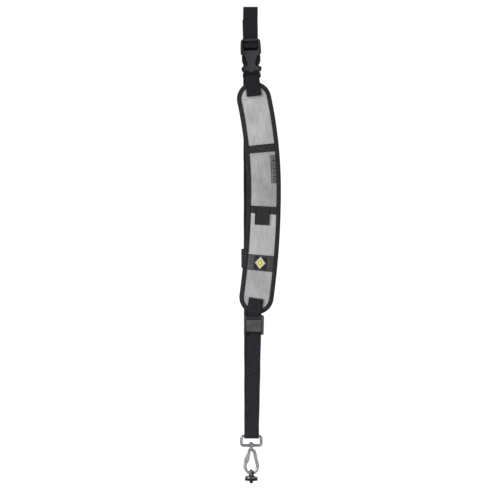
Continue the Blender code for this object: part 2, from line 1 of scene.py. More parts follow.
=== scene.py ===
"""Looks for the sling strap: webbing, padded crescent, buckle, stoppers, hook and fastener.

Lengths in the numbers below are millimetres; MM turns them into the frame's metres.
"""

import math

import bmesh
import bpy
from mathutils import Matrix, Vector

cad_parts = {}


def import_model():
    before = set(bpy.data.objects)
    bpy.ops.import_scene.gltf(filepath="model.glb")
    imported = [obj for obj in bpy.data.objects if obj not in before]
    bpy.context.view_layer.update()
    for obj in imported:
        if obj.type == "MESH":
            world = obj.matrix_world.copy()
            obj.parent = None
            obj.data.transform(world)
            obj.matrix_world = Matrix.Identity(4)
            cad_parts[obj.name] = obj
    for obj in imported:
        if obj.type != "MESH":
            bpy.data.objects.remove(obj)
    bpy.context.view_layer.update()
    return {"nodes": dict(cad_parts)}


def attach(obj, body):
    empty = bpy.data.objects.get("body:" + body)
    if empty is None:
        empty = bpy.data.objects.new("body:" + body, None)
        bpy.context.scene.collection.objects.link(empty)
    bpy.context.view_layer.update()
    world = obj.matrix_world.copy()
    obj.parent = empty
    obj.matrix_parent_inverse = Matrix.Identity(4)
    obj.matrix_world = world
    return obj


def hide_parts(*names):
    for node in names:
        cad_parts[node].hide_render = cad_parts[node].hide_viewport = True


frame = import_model()
MM = 0.001

# webbing and buckle places, the same as in the solids
TOP_X = -1.5
FOLD_R = 5.0
FOLD_Z = -4.3
BUCKLE_AT = (-1.6, -5.0, -53.85)
BUCKLE_TILT = 2.3
LADDER_BAR = (-0.6, -12.05)
MALE_BAR = (0.0, -63.05)
BAR_WRAP = 2.85
LOOP_BAR_Z = -729.3
WRAP_R = 3.45
FRONT_RUN_TOP = (4.9, -10.7, -521.0)
FRONT_RUN_END_X = 0.3
BACK_RUN_END_X = 0.7
WEB_HALF = 12.5
WEB_THICK = 1.4
WEB_RIPPLE = 0.12

# cloth simulation, and sewing thread
CLOTH_FRAMES = 20
STITCH = 2.6
STITCH_GAP = 1.1
THREAD_R = 0.28

# pad: two arcs that meet where the centreline is upright
PAD_X = 21.2
PAD_Z = -310.55
PAD_R_UP = 736.0
PAD_R_LOW = 1341.0
PAD_UP = 155.8
PAD_LOW = -182.5
PAD_HALF = 29.25
TAPE_W = 7.5
CROWN = 1.5
UPPER_BAND = (64.0, 77.1)
LOWER_BAND = (-40.4, -27.7)
LOWER_SKEW = -0.035
EMBLEM_BAND = (-137.4, -110.7)
TAB_SPAN = (-59.4, -31.0)
PANEL_Y = -8.7
FACE_HALF = 27.0
BAND_HALF = 23.5


# --- materials ---------------------------------------------------------------------------------


class Nodes:
    """A small helper that adds and links shader nodes."""

    def __init__(self, name):
        self.mat = bpy.data.materials.new(name)
        self.mat.use_nodes = True
        self.tree = self.mat.node_tree
        self.shader = self.tree.nodes["Principled BSDF"]

    def add(self, kind, **settings):
        node = self.tree.nodes.new(kind)
        for key, value in settings.items():
            setattr(node, key, value)
        return node

    def feed(self, socket, value):
        if isinstance(value, bpy.types.NodeSocket):
            self.tree.links.new(value, socket)
        else:
            socket.default_value = value

    def math(self, operation, a, b=0.0, c=0.0):
        node = self.add("ShaderNodeMath", operation=operation)
        for socket, value in zip(node.inputs, (a, b, c)):
            self.feed(socket, value)
        return node.outputs[0]

    def mix(self, factor, a, b):
        node = self.add("ShaderNodeMix", data_type="RGBA")
        self.feed(node.inputs[0], factor)
        self.feed(node.inputs[6], (*a, 1) if isinstance(a, tuple) else a)
        self.feed(node.inputs[7], (*b, 1) if isinstance(b, tuple) else b)
        return node.outputs[2]

    def noise(self, scale, detail=3.0, vector=None):
        node = self.add("ShaderNodeTexNoise")
        node.inputs["Scale"].default_value = scale
        node.inputs["Detail"].default_value = detail
        self.feed(node.inputs["Vector"], vector or self.place())
        return node.outputs[0]

    def place(self):
        return self.add("ShaderNodeTexCoord").outputs["Object"]

    def stretched(self, scale):
        """The object's coordinates, scaled differently along each axis."""
        node = self.add("ShaderNodeMapping")
        self.feed(node.inputs[0], self.place())
        node.inputs["Scale"].default_value = scale
        return node.outputs[0]

    def uv(self):
        """The piece's own millimetre coordinates: across it, and along it."""
        node = self.add("ShaderNodeSeparateXYZ")
        self.feed(node.inputs[0], self.add("ShaderNodeUVMap", uv_map="mm").outputs[0])
        return node.outputs[0], node.outputs[1]

    def wave(self, value, pitch, phase=0.0):
        """A 0 to 1 sine wave of that pitch in millimetres."""
        turn = self.math("MULTIPLY_ADD", value, 2 * math.pi / pitch, phase)
        return self.math("MULTIPLY_ADD", self.math("SINE", turn), 0.5, 0.5)

    def ramp(self, value, low, high):
        node = self.add("ShaderNodeMapRange", interpolation_type="SMOOTHSTEP")
        self.feed(node.inputs[0], value)
        node.inputs[1].default_value = low
        node.inputs[2].default_value = high
        return node.outputs[0]

    def bump(self, height, distance, strength=1.0):
        node = self.add("ShaderNodeBump")
        node.inputs["Distance"].default_value = distance * MM
        node.inputs["Strength"].default_value = strength
        self.feed(node.inputs["Height"], height)
        self.feed(self.shader.inputs["Normal"], node.outputs[0])

    def finish(self, color, rough, metal=0.0, **constants):
        self.feed(self.shader.inputs["Base Color"], (*color, 1) if isinstance(color, tuple) else color)
        self.feed(self.shader.inputs["Roughness"], rough)
        self.shader.inputs["Metallic"].default_value = metal
        for key, value in constants.items():
            socket = self.shader.inputs[key.replace("_", " ")]
            socket.default_value = value
        return self.mat


def webbing_look(name, dark, light, half=WEB_HALF, dark_to_pale=None, axis=2):
    """Ribbed webbing: cross ribs in two offset rows, darker selvedges, faint fuzz and blotchy wear, and an
    optional dark-to-pale ramp.

    The optional ramp gives two places in metres along the axis: the colour is darkest above the first and
    palest below the second. Along x on the emblem band it is painted shade; on the main webbing it makes
    the top darker.
    """
    rib = 1.5
    n = Nodes(name)
    u, v = n.uv()
    column = n.math("GREATER_THAN", n.wave(u, 2.1), 0.5)
    shift = n.math("MULTIPLY_ADD", column, rib / 2, v)
    ribs = n.wave(shift, rib)
    yarn = n.wave(u, 1.05)
    cloth = n.math("MULTIPLY", ribs, n.math("MULTIPLY_ADD", yarn, 0.6, 0.4))
    edge = n.ramp(n.math("ABSOLUTE", u), half * 0.84, half)
    blotch = n.noise(90, 4)
    speck = n.ramp(n.noise(420, 3), 0.35, 0.7)
    tone = n.math("MULTIPLY_ADD", speck, 0.45, n.math("MULTIPLY", cloth, 0.25))
    tone = n.math("MULTIPLY_ADD", blotch, 0.5, tone)
    tone = n.math("MULTIPLY", tone, n.math("SUBTRACT", 1.0, n.math("MULTIPLY", edge, 0.85)))
    # Optional ramp along one axis, darker past the first place and paler past the second: painted shade on
    # the emblem band, a plain top-dark tone on the main webbing.
    if dark_to_pale:
        split = n.add("ShaderNodeSeparateXYZ")
        n.feed(split.inputs[0], n.place())
        paleness = n.math("SUBTRACT", 1.0, n.ramp(split.outputs[axis], dark_to_pale[1], dark_to_pale[0]))
        tone = n.math("MULTIPLY", tone, n.math("MULTIPLY_ADD", paleness, 0.62, 0.64))
    color = n.mix(tone, dark, light)
    n.bump(n.math("ADD", cloth, n.math("MULTIPLY", n.noise(2500, 2), 0.4)), 0.35, 0.8)
    rough = n.math("MULTIPLY_ADD", blotch, 0.2, 0.7)
    return n.finish(color, rough, Sheen_Weight=0.04, Sheen_Roughness=0.5, Specular_IOR_Level=0.25)


def fabric_look(name, dark, light, thread=0.9):
    """Plain woven pack cloth with slubs, faint soiling and a little sheen."""
    n = Nodes(name)
    u, v = n.uv()
    weave = n.math("MULTIPLY", n.wave(u, thread), n.wave(v, thread))
    cross = n.math("MULTIPLY", n.wave(u, thread, math.pi), n.wave(v, thread, math.pi))
    cloth = n.math("ADD", weave, cross)
    slub = n.noise(420, 5)
    warp = n.noise(1.0, 3, n.stretched((420, 420, 60)))
    cloud = n.noise(26, 3)
    tone = n.math("MULTIPLY_ADD", slub, 0.25, n.math("MULTIPLY", cloud, 0.5))
    tone = n.math("MULTIPLY_ADD", warp, 0.35, tone)
    tone = n.math("MULTIPLY_ADD", cloth, 0.06, tone)
    color = n.mix(n.ramp(tone, 0.35, 0.85), dark, light)
    n.bump(n.math("MULTIPLY_ADD", slub, 0.8, cloth), 0.2, 0.7)
    return n.finish(color, 0.9, Sheen_Weight=0.05, Sheen_Roughness=0.5, Specular_IOR_Level=0.25)


def tape_look(name, dark, light, width):
    """Grosgrain tape: fine cross ribs, with a painted highlight along its middle and painted shade at both
    edges.
    """
    n = Nodes(name)
    u, v = n.uv()
    ribs = n.wave(v, 0.9)
    # Painted highlight: lightest along the middle, fading to painted shade at both edges.
    across = n.math("DIVIDE", n.math("ABSOLUTE", u), width / 2)
    middle = n.math("SUBTRACT", 1.0, n.ramp(across, 0.45, 1.0))
    speck = n.ramp(n.noise(380, 3), 0.3, 0.7)
    tone = n.math("MULTIPLY", middle, n.math("MULTIPLY_ADD", speck, 0.8, 0.25))
    color = n.mix(tone, dark, light)
    n.bump(n.math("ADD", ribs, n.math("MULTIPLY", n.noise(2200, 2), 0.5)), 0.25, 0.7)
    return n.finish(color, 0.85, Sheen_Weight=0.04, Sheen_Roughness=0.5, Specular_IOR_Level=0.25)


def plastic_look(name, dark, light, rough=0.38, highlight_band=None, gloss=0.5):
    """Satin moulded plastic with fine grain.

    The optional band is (middle, near, far) along x: a painted highlight, lighter within near of the
    middle, and less and less out to far.
    """
    n = Nodes(name)
    cloud = n.noise(60, 4)
    grain = n.noise(3200, 2)
    tone = n.ramp(cloud, 0.35, 0.75)
    # Painted highlight: lighter within near of the middle along x, fading out to far.
    if highlight_band:
        split = n.add("ShaderNodeSeparateXYZ")
        n.feed(split.inputs[0], n.place())
        middle, near, far = (value * MM for value in highlight_band)
        away = n.math("ABSOLUTE", n.math("SUBTRACT", split.outputs[0], middle))
        highlight = n.math("SUBTRACT", 1.0, n.ramp(away, near, far))
        tone = n.math("MULTIPLY", highlight, n.math("MULTIPLY_ADD", tone, 0.3, 0.7))
    color = n.mix(tone, dark, light)
    n.bump(grain, 0.05, 0.5)
    return n.finish(color, n.math("MULTIPLY_ADD", cloud, 0.16, rough - 0.08), Specular_IOR_Level=gloss)


def metal_look(name, dark, light, rough):
    """Satin metal with fine rubbing marks and a little tarnish."""
    n = Nodes(name)
    fine = n.noise(1800, 3)
    cloud = n.noise(120, 5)
    color = n.mix(n.ramp(cloud, 0.3, 0.75), dark, light)
    n.bump(n.math("MULTIPLY_ADD", fine, 0.6, cloud), 0.04, 0.5)
    return n.finish(color, n.math("MULTIPLY_ADD", fine, 0.18, rough - 0.09), 1.0)


def rubber_look(name, color):
    n = Nodes(name)
    grain = n.noise(1500, 3)
    tone = n.mix(grain, color, grey(color[0] * 2.2))
    n.bump(grain, 0.12, 0.6)
    return n.finish(tone, 0.75)


def thread_look(name, dark, light):
    n = Nodes(name)
    tone = n.mix(n.noise(900, 2), dark, light)
    n.bump(n.noise(3000, 2), 0.1, 0.6)
    return n.finish(tone, 0.6, Sheen_Weight=0.3)


def grey(level, step=0.0):
    """A neutral grey, or a slightly cool one when step is above 0."""
    return (level, level, level + step)


def all_looks():
    return {
        # Darker towards the top of the strap, paler towards the bottom.
        "webbing": webbing_look(
            "webbing_black", grey(0.003, 0.001), grey(0.024, 0.009), dark_to_pale=(-0.15, -0.6)
        ),
        "tab": webbing_look("webbing_tab", grey(0.006), grey(0.044, 0.003)),
        # The emblem band's ramp along x is painted shade: paler on the left, darker on the right.
        "emblem_band": webbing_look(
            "webbing_emblem", grey(0.034, 0.004), grey(0.122, 0.011), 13.4, dark_to_pale=(0.030, -0.005), axis=0
        ),
        "tape": tape_look("binding_tape", grey(0.004), grey(0.036, 0.003), 7.5),
        "band": tape_look("cross_tape", grey(0.007), grey(0.041, 0.004), 15.0),
        "grey_1": fabric_look("grey_cloth_1", grey(0.37), grey(0.60)),
        "grey_2": fabric_look("grey_cloth_2", grey(0.29), grey(0.50)),
        "grey_3": fabric_look("grey_cloth_3", grey(0.40), grey(0.64)),
        "grey_4": fabric_look("grey_cloth_4", grey(0.33), grey(0.55)),
        "back": fabric_look("back_cloth", grey(0.008), grey(0.045), 2.4),
        "thread_black": thread_look("thread_black", grey(0.006), grey(0.03)),
        "thread_grey": thread_look("thread_grey", grey(0.18), grey(0.34)),
        "thread_pale": thread_look("thread_pale", grey(0.50), grey(0.72)),
        # The buckle's female half has a painted highlight down its middle, where its front plate faces the
        # light.
        "plastic": plastic_look("buckle_plastic", grey(0.008), grey(0.034, 0.012), 0.36, (1.5, 9.0, 14.0)),
        # A darker copy of the buckle plastic: painted shade for the male half and the spring arms, which
        # sit back in the female half's shadow.
        "arm_plastic_shaded": plastic_look("arm_plastic_shaded", grey(0.004), grey(0.010), 0.4, gloss=0.25),
        "stopper": plastic_look("stopper_plastic", grey(0.058), grey(0.098), 0.42),
        "frame": plastic_look("stopper_frame", grey(0.022), grey(0.045), 0.36),
        # The front stopper's frame: a lighter copy of the stopper frame plastic with a painted highlight on
        # its right cheek.
        "front_frame_highlit": plastic_look("front_frame_highlit", grey(0.022), grey(0.072), 0.36, (20.0, 3.5, 6.0)),
        "barrel": plastic_look("stopper_barrel", grey(0.010, 0.002), grey(0.020, 0.004), 0.5),
        "steel": metal_look("satin_steel", grey(0.36), grey(0.52), 0.32),
        "gate": metal_look("gate_steel", (0.50, 0.48, 0.46), (0.74, 0.71, 0.69), 0.35),
        "bright": metal_look("nickel_plate", grey(0.28), grey(0.44), 0.22),
        "pin": metal_look("bright_pin", grey(0.45), grey(0.62), 0.25),
        "black_metal": metal_look("black_oxide", grey(0.008), grey(0.022), 0.30),
        "hub_black": metal_look("dark_chrome", grey(0.09, 0.01), grey(0.19, 0.02), 0.3),
        "rubber": rubber_look("black_rubber", grey(0.006)),
        "label": fabric_look("label_weave", grey(0.14), grey(0.26), 0.7),
        "patch": fabric_look("patch_weave", grey(0.012), grey(0.045), 0.6),
        "yellow": thread_look("yellow_thread", (0.80, 0.72, 0.16), (0.95, 0.90, 0.36)),
    }


LOOKS = all_looks()


# --- building helpers --------------------------------------------------------------------------


def add_piece(name, bm, look, body, stands_for=(), smooth=True):
    """A new object from a bmesh in millimetres, riding on a body."""
    bmesh.ops.recalc_face_normals(bm, faces=bm.faces)
    bm.transform(Matrix.Scale(MM, 4))
    for face in bm.faces:
        face.smooth = smooth
    mesh = bpy.data.meshes.new(name)
    bm.to_mesh(mesh)
    bm.free()
    obj = bpy.data.objects.new(name, mesh)
    bpy.context.scene.collection.objects.link(obj)
    mesh.materials.append(LOOKS[look])
    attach(obj, body)
    if stands_for:
        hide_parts(*stands_for)
    return obj


def node_look(look, *names):
    for name in names:
        obj = frame["nodes"][name]
        obj.data.materials.clear()
        obj.data.materials.append(LOOKS[look])


def loft(rings, closed=False, uvs=None):
    """Faces between rings of points. uvs gives (u, v) for each point of each ring."""
    bm = bmesh.new()
    layer = bm.loops.layers.uv.new("mm")
    rows = [[bm.verts.new(p) for p in ring] for ring in rings]
    count = len(rows[0])
    total = len(rows)
    for i in range(total if closed else total - 1):
        j = (i + 1) % total
        for k in range(count):
            m = (k + 1) % count
            face = bm.faces.new((rows[i][k], rows[i][m], rows[j][m], rows[j][k]))
            if uvs:
                spots = (uvs[i][k], uvs[i][m], uvs[j][m], uvs[j][k])
                for loop, spot in zip(face.loops, spots):
                    loop[layer].uv = spot
    if not closed:
        bm.faces.new(rows[0])
        bm.faces.new(rows[-1])
    return bm


def web_section():
    """The webbing's cross-section as (across, up) points, with soft edges."""
    side = [(0.0, 1.0), (0.5, 1.0), (0.9, 1.0), (0.975, 0.85), (1.0, 0.35)]
    right = [(WEB_HALF * a, WEB_THICK / 2 * b) for a, b in side]
    right += [(a, -b) for a, b in reversed(right)]
    return right + [(-a, b) for a, b in reversed(right[1:-1])]


def resample(stations, step):
    """Stations of (x, y, z, tilt) again, about step apart."""
    out = []
    for a, b in zip(stations, stations[1:]):
        gap = (Vector(b[:3]) - Vector(a[:3])).length
        count = max(1, round(gap / step))
        for k in range(count):
            out.append(tuple(p + (q - p) * k / count for p, q in zip(a, b)))
    out.append(tuple(stations[-1]))
    return out


def ribbon(stations, step=4.0):
    """Webbing through the stations, with soft edges and a slight ripple along them."""
    spots = resample(stations, step)
    section = web_section()
    rings, uvs, run = [], [], 0.0
    points = [Vector(s[:3]) for s in spots]
    for i, station in enumerate(spots):
        ahead, behind = points[min(i + 1, len(points) - 1)], points[max(i - 1, 0)]
        along = (ahead - behind).normalized()
        tilt = math.radians(station[3])
        across = Vector((math.cos(tilt), 0, math.sin(tilt)))
        across = (across - across.dot(along) * along).normalized()
        up = along.cross(across)
        if i:
            run += (points[i] - points[i - 1]).length
        ring = []
        for a, b in section:
            sway = WEB_RIPPLE * (math.sin(run * 0.11 + 1.3) + 0.6 * math.sin(run * 0.043 + a * 0.4))
            ring.append(points[i] + (a + sway * (abs(a) / WEB_HALF)) * across + b * up)
        rings.append(ring)
        uvs.append([(a, run) for a, b in section])
    return loft(rings, uvs=uvs)


def in_buckle(y, z):
    """A point of the middle plane of the buckle's own tilted frame."""
    turn = Matrix.Rotation(math.radians(-BUCKLE_TILT), 4, "Y")
    return Matrix.Translation(BUCKLE_AT) @ turn @ Vector((0, y, z))


# --- pad geometry ------------------------------------------------------------------------------


def pad_frame(s):
    """The x, z and lean of the pad's centreline at s. It goes on straight past the ends."""
    inside = min(max(s, PAD_LOW), PAD_UP)
    radius = PAD_R_UP if inside > 0 else PAD_R_LOW
    angle = inside / radius
    x = PAD_X - radius * (1 - math.cos(angle))
    z = PAD_Z + radius * math.sin(angle)
    extra = s - inside
    return x - extra * math.sin(angle), z + extra * math.cos(angle), angle


def pad_point(s, t, y=0.0):
    x, z, angle = pad_frame(s)
    return Vector((x + t * math.cos(angle), y, z + t * math.sin(angle)))


def pad_half(s, inset):
    """The pad's half width at s, in from its edge by inset."""
    r = PAD_HALF - inset
    past = max(s - PAD_UP, PAD_LOW - s, 0.0)
    return math.sqrt(max(r * r - past * past, 0.0))


def smoothstep(x):
    x = min(max(x, 0.0), 1.0)
    return x * x * (3 - 2 * x)


def crown(s, t):
    """How far the pad's face stands proud of its edge."""
    to_end = min(PAD_UP - s, s - PAD_LOW)
    along = 0.3 + 0.7 * smoothstep((to_end + 5) / 40)
    roll = max(0.0, 1 - abs(t / 22.5) ** 3)
    fold = 0.16 * math.sin(0.31 * t + 0.9 * math.sin(s * 0.021) + 0.6) * roll
    return CROWN * along * roll + fold


def pad_outline(inset, sides, round_steps):
    """The (s, t) points round the pad, in from its edge by inset."""
    r = PAD_HALF - inset
    out = []
    for k in range(sides):
        out.append((PAD_LOW + (PAD_UP - PAD_LOW) * k / sides, r))
    for k in range(round_steps):
        a = math.pi * k / round_steps
        out.append((PAD_UP + r * math.sin(a), r * math.cos(a)))
    for k in range(sides):
        out.append((PAD_UP + (PAD_LOW - PAD_UP) * k / sides, -r))
    for k in range(round_steps):
        a = math.pi * k / round_steps
        out.append((PAD_LOW - r * math.sin(a), -r * math.cos(a)))
    return out


def face_patch(s0, s1, t0, t1, front, thick, skew=0.0, step=3.0, rim=None, tape=False):
    """A closed thin patch on the pad's face. front(s, t) is its front y. rim gives t's limits by s.

    Its UVs are (across the pad, along it), or for a tape sewn across the pad (across the tape, along it).
    """
    rows = max(2, round(abs(s1 - s0) / step))
    cols = max(2, round(abs(t1 - t0) / step))
    bm = bmesh.new()
    layer = bm.loops.layers.uv.new("mm")
    grid = []
    for i in range(rows + 1):
        line = []
        for j in range(cols + 1):
            s = s0 + (s1 - s0) * i / rows
            share = j / cols
            low, high = rim(s) if rim else (t0, t1)
            t = low + (high - low) * share
            s += skew * t
            y = front(s, t)
            top = bm.verts.new(pad_point(s, t, y))
            back = bm.verts.new(pad_point(s, t, y + thick))
            place = (s - (s0 + s1) / 2 - skew * t, t) if tape else (t, s)
            line.append((top, back, place))
        grid.append(line)

    def quad(a, b, c, d, side):
        face = bm.faces.new((a[side], b[side], c[side], d[side]))
        for loop, corner in zip(face.loops, (a, b, c, d)):
            loop[layer].uv = corner[2]

    for i in range(rows):
        for j in range(cols):
            quad(grid[i][j], grid[i][j + 1], grid[i + 1][j + 1], grid[i + 1][j], 0)
            quad(grid[i][j], grid[i + 1][j], grid[i + 1][j + 1], grid[i][j + 1], 1)
    border = [grid[0][j] for j in range(cols)] + [grid[i][cols] for i in range(rows)]
    border += [grid[rows][j] for j in range(cols, 0, -1)] + [grid[i][0] for i in range(rows, 0, -1)]
    for a, b in zip(border, border[1:] + border[:1]):
        face = bm.faces.new((a[0], b[0], b[1], a[1]))
        for loop, corner in zip(face.loops, (a, b, b, a)):
            loop[layer].uv = corner[2]
    return bm


def stitches(name, line, look, body):
    """Thread stitches along (x, y, z) points, each a small spindle half sunk in the cloth."""
    points = [Vector(p) for p in line]
    bm = bmesh.new()
    bm.loops.layers.uv.new("mm")
    carry = 0.0
    for a, b in zip(points, points[1:]):
        span = (b - a).length
        along = (b - a).normalized()
        side = along.cross(Vector((0, -1, 0))).normalized()
        up = side.cross(along)
        at = carry
        while at + STITCH <= span + 0.5:
            rings = []
            for share, size in ((0, 0.35), (0.2, 0.9), (0.5, 1.0), (0.8, 0.9), (1.0, 0.35)):
                centre = a + along * (at + STITCH * share)
                ring = []
                for k in range(6):
                    turn = math.pi * k / 3
                    offset = side * math.cos(turn) + up * math.sin(turn)
                    ring.append(bm.verts.new(centre + offset * THREAD_R * size))
                rings.append(ring)
            for one, two in zip(rings, rings[1:]):
                for k in range(6):
                    bm.faces.new((one[k], one[(k + 1) % 6], two[(k + 1) % 6], two[k]))
            bm.faces.new(rings[0])
            bm.faces.new(rings[-1])
            at += STITCH + STITCH_GAP
        carry = max(0.0, at - span)
    return add_piece(name, bm, look, body)


# --- webbing -----------------------------------------------------------------------------------


def main_webbing():
    path = []
    y0, z0 = LADDER_BAR
    for y, z in [(2.1, 33.0), (2.1, 12.0), (2.1, -6.0)]:
        path.append((*in_buckle(y, z), BUCKLE_TILT))
    for k in range(17):
        a = math.radians(180 - 11.25 * k)
        spot = in_buckle(y0 - BAR_WRAP * math.cos(a), z0 - BAR_WRAP * math.sin(a))
        path.append((*spot, BUCKLE_TILT))
    for y, z in [(-3.1, -9.9), (-1.9, -8.6), (-0.4, -7.4), (0.1, -5.6), (0.1, 8.0)]:
        path.append((*in_buckle(y, z), BUCKLE_TILT))
    for k in range(25):
        a = math.radians(7.5 * k)
        path.append((TOP_X, -FOLD_R * math.cos(a), FOLD_Z + FOLD_R * math.sin(a), 0))
    for k in range(25):
        a = math.radians(7.5 * k)
        x = BACK_RUN_END_X + (FRONT_RUN_END_X - BACK_RUN_END_X) * k / 24
        path.append((x, WRAP_R * math.cos(a), LOOP_BAR_Z - WRAP_R * math.sin(a), 0))
    path.append((2.6, -6.97, -625.1, -1))
    path.append((*FRONT_RUN_TOP, -2))
    for x, y, z, tilt in [(5.2, -11.0, -517.5, -6), (6.2, -11.0, -510.0, -8), (8.5, -11.0, -494.7, -8)]:
        path.append((x, y, z, tilt))
    add_piece("webbing_main", ribbon(path), "webbing", "strap", ["main_webbing"])


def top_tab():
    centre = in_buckle(*MALE_BAR)
    path = [(4.85, -11.0, -151.3, 7), (3.3, -11.0, -138.0, 7), (2.0, -11.0, -126.0, 6)]
    for k in range(17):
        a = math.radians(11.25 * k)
        y = centre.y - BAR_WRAP * math.cos(a)
        path.append((centre.x, y, centre.z + BAR_WRAP * math.sin(a), BUCKLE_TILT + 1))
    path += [(2.0, 1.0, -126.0, 6), (3.3, 1.0, -138.0, 7), (4.85, 1.0, -151.3, 7)]
    add_piece("webbing_top_tab", ribbon(path, step=3.0), "webbing", "strap", ["pad_top_tab"])


# --- pad ---------------------------------------------------------------------------------------


def settle(obj, pinned, pressure, cap):
    """Swells a fabric piece with a cloth simulation, limits how far it moved, and keeps the result."""
    group = obj.vertex_groups.new(name="pins")
    for index, weight in pinned.items():
        group.add([index], weight, "REPLACE")
    start = [v.co.copy() for v in obj.data.vertices]
    mod = obj.modifiers.new("cloth", "CLOTH")
    mod.settings.vertex_group_mass = "pins"
    mod.settings.use_pressure = True
    mod.settings.uniform_pressure_force = pressure
    mod.settings.quality = 6
    mod.settings.mass = 0.2
    mod.settings.tension_stiffness = 12
    mod.settings.compression_stiffness = 12
    mod.settings.shear_stiffness = 6
    mod.settings.effector_weights.gravity = 0
    mod.collision_settings.use_collision = False
    mod.point_cache.frame_start = 1
    mod.point_cache.frame_end = CLOTH_FRAMES
    scene = bpy.context.scene
    for number in range(1, CLOTH_FRAMES + 1):
        scene.frame_set(number)
    graph = bpy.context.evaluated_depsgraph_get()
    result = obj.evaluated_get(graph).to_mesh()
    moved = [v.co.copy() for v in result.vertices]
    obj.evaluated_get(graph).to_mesh_clear()
    obj.modifiers.remove(mod)
    scene.frame_set(1)
    for vertex, before, after in zip(obj.data.vertices, start, moved):
        step = after - before
        limit = cap * MM
        if step.length > limit:
            step = step.normalized() * limit
        vertex.co = before + step
    obj.vertex_groups.remove(group)
    obj.data.update()


def panel(name, s0, s1, look, node):
    """One grey front panel: a thin cloth over the foam, swollen between its sewn edges."""

    def rim(s):
        half = max(pad_half(s, 2.2), 3.0)
        return -half, half

    def front(s, t):
        return PANEL_Y - crown(s, t)

    bm = face_patch(s0, s1, -FACE_HALF, FACE_HALF, front, 0.9, rim=rim)
    obj = add_piece(name, bm, look, "strap", [node])
    pins = {}
    for vertex in obj.data.vertices:
        x, y, z = vertex.co / MM
        s, t = pad_inverse(x, z)
        inner = pad_half(s, TAPE_W - 0.3)
        edge = min(inner - abs(t), abs(s - s0), abs(s - s1))
        if s > PAD_UP or s < PAD_LOW:
            edge = min(edge, 0.0)
        weight = 1 - smoothstep(edge / 5.0)
        if weight > 0:
            pins[vertex.index] = weight
    settle(obj, pins, 1.2, 0.9)


def pad_inverse(x, z):
    """The (s, t) of a point on the pad's face."""
    up = z >= PAD_Z
    radius = PAD_R_UP if up else PAD_R_LOW
    cx = PAD_X - radius
    angle = math.atan2(z - PAD_Z, x - cx)
    end = PAD_UP if up else PAD_LOW
    if abs(angle * radius) > abs(end):
        ex, ez, tilt = pad_frame(end)
        dx, dz = x - ex, z - ez
        along = -dx * math.sin(tilt) + dz * math.cos(tilt)
        across = dx * math.cos(tilt) + dz * math.sin(tilt)
        return end + along, across
    return angle * radius, math.hypot(x - cx, z - PAD_Z) - radius


def pad_panels():
    high = PAD_UP + PAD_HALF - 2.6
    low = PAD_LOW - PAD_HALF + 2.6
    middle, under, last = sum(UPPER_BAND) / 2, sum(LOWER_BAND) / 2, sum(EMBLEM_BAND) / 2
    panel("panel_upper", middle + 0.4, high, "grey_1", "front_panel_1")
    panel("panel_middle", under + 0.4, middle - 0.4, "grey_2", "front_panel_2")
    panel("panel_pocket", last + 0.4, under - 0.4, "grey_3", "front_panel_3")
    panel("panel_lower", low, last - 0.4, "grey_4", "front_panel_4")


def pad_body():
    """The foam core and the mesh cloth on the pad's back."""

    def rim(s):
        half = max(pad_half(s, 2.0), 3.0)
        return -half, half

    def core_front(s, t):
        return -7.6 - 0.6 * crown(s, t)

    low, high = PAD_LOW - PAD_HALF + 2.4, PAD_UP + PAD_HALF - 2.4
    core = face_patch(low, high, -FACE_HALF, FACE_HALF, core_front, 4.9, step=6.0, rim=rim)
    obj = add_piece("foam_core", core, "back", "strap", ["pad_foam"])

    def back(s, t):
        quilt = 0.5 * max(0.0, 1 - (t / 20.0) ** 2)
        return -2.1 + quilt

    cloth = face_patch(low, high, -FACE_HALF, FACE_HALF, back, 0.9, step=4.0, rim=rim)
    obj = add_piece("back_cloth", cloth, "back", "strap", ["pad_backing"])


def binding():
    """The tape folded round the pad's edge, with small puckers where it turns the ends."""
    section = [(7.5, -9.62), (7.4, -9.95), (6.6, -10.15), (3.8, -10.25), (1.4, -10.0), (0.35, -9.2)]
    section += [(0.0, -7.5), (0.0, -2.5), (0.35, -0.8), (1.4, -0.1), (3.8, 0.12), (6.6, 0.05)]
    section += [(7.4, -0.15), (7.5, -0.45), (7.4, -0.62), (1.6, -0.7), (0.9, -1.2), (0.9, -8.8)]
    section += [(1.6, -9.3)]
    sides, turns = 90, 32
    outlines = {d: pad_outline(d, sides, turns) for d, _ in section}
    total = len(outlines[0.0])
    rings, uvs, run = [], [], 0.0
    for k in range(total):
        spot = pad_point(*outlines[0.0][k])
        if k:
            run += (spot - pad_point(*outlines[0.0][k - 1])).length
        s, _ = outlines[0.0][k]
        on_turn = s > PAD_UP or s < PAD_LOW
        ring = []
        for depth, y in section:
            pucker = 0.12 * math.sin(run * (1.9 if on_turn else 0.55)) * (1 if depth < 7 else 0.3)
            if not on_turn:
                pucker *= 0.5
            out = -1 if y < -5 else 1
            ring.append(pad_point(*outlines[depth][k], y + out * pucker * 0.6))
        rings.append(ring)
        uvs.append([((depth - 3.75) if y < -8 or y > -1.5 else 3.6, run) for depth, y in section])
    bm = loft(rings, closed=True, uvs=uvs)
    add_piece("edge_tape", bm, "tape", "strap", ["edge_binding"])
    for name, y in (("binding_stitches_front", -10.12), ("binding_stitches_back", 0.02)):
        line = [pad_point(s, t, y) for s, t in pad_outline(6.3, 60, 20)]
        stitches(name, line + line[:1], "thread_black", "strap")


def band_front(s, t):
    """The front of a band sewn across the panels and tucked under the tape at both ends."""
    tuck = smoothstep((abs(t) - 19.0) / 3.5)
    return PANEL_Y - 0.85 - crown(s, t) - 0.35 * (1 - tuck)


